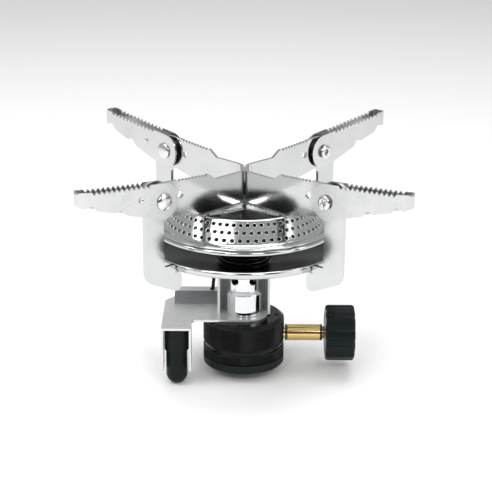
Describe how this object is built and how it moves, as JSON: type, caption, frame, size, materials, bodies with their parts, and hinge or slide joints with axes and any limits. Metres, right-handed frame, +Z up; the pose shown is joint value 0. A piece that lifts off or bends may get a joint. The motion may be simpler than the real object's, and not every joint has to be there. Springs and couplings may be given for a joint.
{
  "type": "camping stove",
  "caption": "Screw-on gas camping stove with a perforated burner head, cross-shaped wind shield, folding toothed pot supports, side valve knob and push-button igniter.",
  "frame": {"origin": "centre of the face that seats on the gas cartridge, on the burner's axis", "axes": "+Z up along the burner's axis, +X towards the control knob, -Y the front, where the igniter button is"},
  "size_m": [0.1234, 0.1314, 0.0975],
  "materials": {
    "stainless": "bright pressed stainless sheet",
    "chrome": "polished plating",
    "nickel": "satin nickel plating",
    "brass": "turned brass",
    "black_anodised": "black anodised, knurled",
    "black_enamel": "gloss black",
    "black_gloss": "gloss black moulding",
    "black_plastic": "satin black moulding",
    "rubber": "matt black",
    "ceramic": "glazed ceramic",
    "spring_steel": "bright steel"
  },
  "bodies": {
    "burner": {"valve_body": "black_anodised", "cartridge_seat_ring": "rubber", "cartridge_o_ring": "rubber", "valve_depressor_pin": "brass", "gas_filter": "spring_steel", "jet_nozzle": "brass", "mixing_tube": "chrome", "base_dish": "stainless", "burner_neck": "black_enamel", "burner_pan": "stainless", "burner_cap": "stainless", "wind_shield_left": "stainless", "wind_shield_right": "stainless", "igniter_bracket": "nickel", "igniter_housing": "black_gloss", "igniter_piezo": "ceramic", "igniter_spring": "spring_steel", "ignition_lead": "rubber", "electrode_insulator": "ceramic", "spark_electrode": "spring_steel", "spindle_housing": "brass", "spindle_o_ring_inner": "rubber", "spindle_o_ring_outer": "rubber", "pivot_rivet_front_left": "stainless", "pivot_rivet_front_right": "stainless", "pivot_rivet_back_left": "stainless", "pivot_rivet_back_right": "stainless", "pivot_washer_front_left_inner": "spring_steel", "pivot_washer_front_left_outer": "spring_steel", "pivot_washer_front_right_inner": "spring_steel", "pivot_washer_front_right_outer": "spring_steel", "pivot_washer_back_left_inner": "spring_steel", "pivot_washer_back_left_outer": "spring_steel", "pivot_washer_back_right_inner": "spring_steel", "pivot_washer_back_right_outer": "spring_steel"},
    "arm_front_left": {"pot_support_front_left": "stainless"},
    "arm_front_right": {"pot_support_front_right": "stainless"},
    "arm_back_left": {"pot_support_back_left": "stainless"},
    "arm_back_right": {"pot_support_back_right": "stainless"},
    "knob": {"control_knob": "black_plastic", "valve_spindle": "spring_steel", "knob_screw": "spring_steel"},
    "igniter_push": {"igniter_button": "black_plastic"}
  },
  "joints": [
    {"name": "front_left_arm_fold", "type": "hinge", "parent": "burner", "child": "arm_front_left", "pos_m": [-0.03253, -0.03653, 0.0816], "axis": [-0.7071, 0.7071, 0], "range_deg": [0, 158]},
    {"name": "front_right_arm_fold", "type": "hinge", "parent": "burner", "child": "arm_front_right", "pos_m": [0.03253, -0.03653, 0.0816], "axis": [-0.7071, -0.7071, 0], "range_deg": [0, 158]},
    {"name": "back_left_arm_fold", "type": "hinge", "parent": "burner", "child": "arm_back_left", "pos_m": [-0.03253, 0.03653, 0.0816], "axis": [0.7071, 0.7071, 0], "range_deg": [0, 158]},
    {"name": "back_right_arm_fold", "type": "hinge", "parent": "burner", "child": "arm_back_right", "pos_m": [0.03253, 0.03653, 0.0816], "axis": [0.7071, -0.7071, 0], "range_deg": [0, 158]},
    {"name": "knob_turn", "type": "hinge", "parent": "burner", "child": "knob", "pos_m": [0.034, 0, 0.0122], "axis": [1, 0, 0], "range_deg": [0, 540]},
    {"name": "igniter_press", "type": "slide", "parent": "burner", "child": "igniter_push", "axis": [0, 0, 1], "range_m": [0, 0.004], "stiffness_N_per_m": 2500, "springref_m": -0.002, "deforming": ["igniter_spring"]}
  ]
}
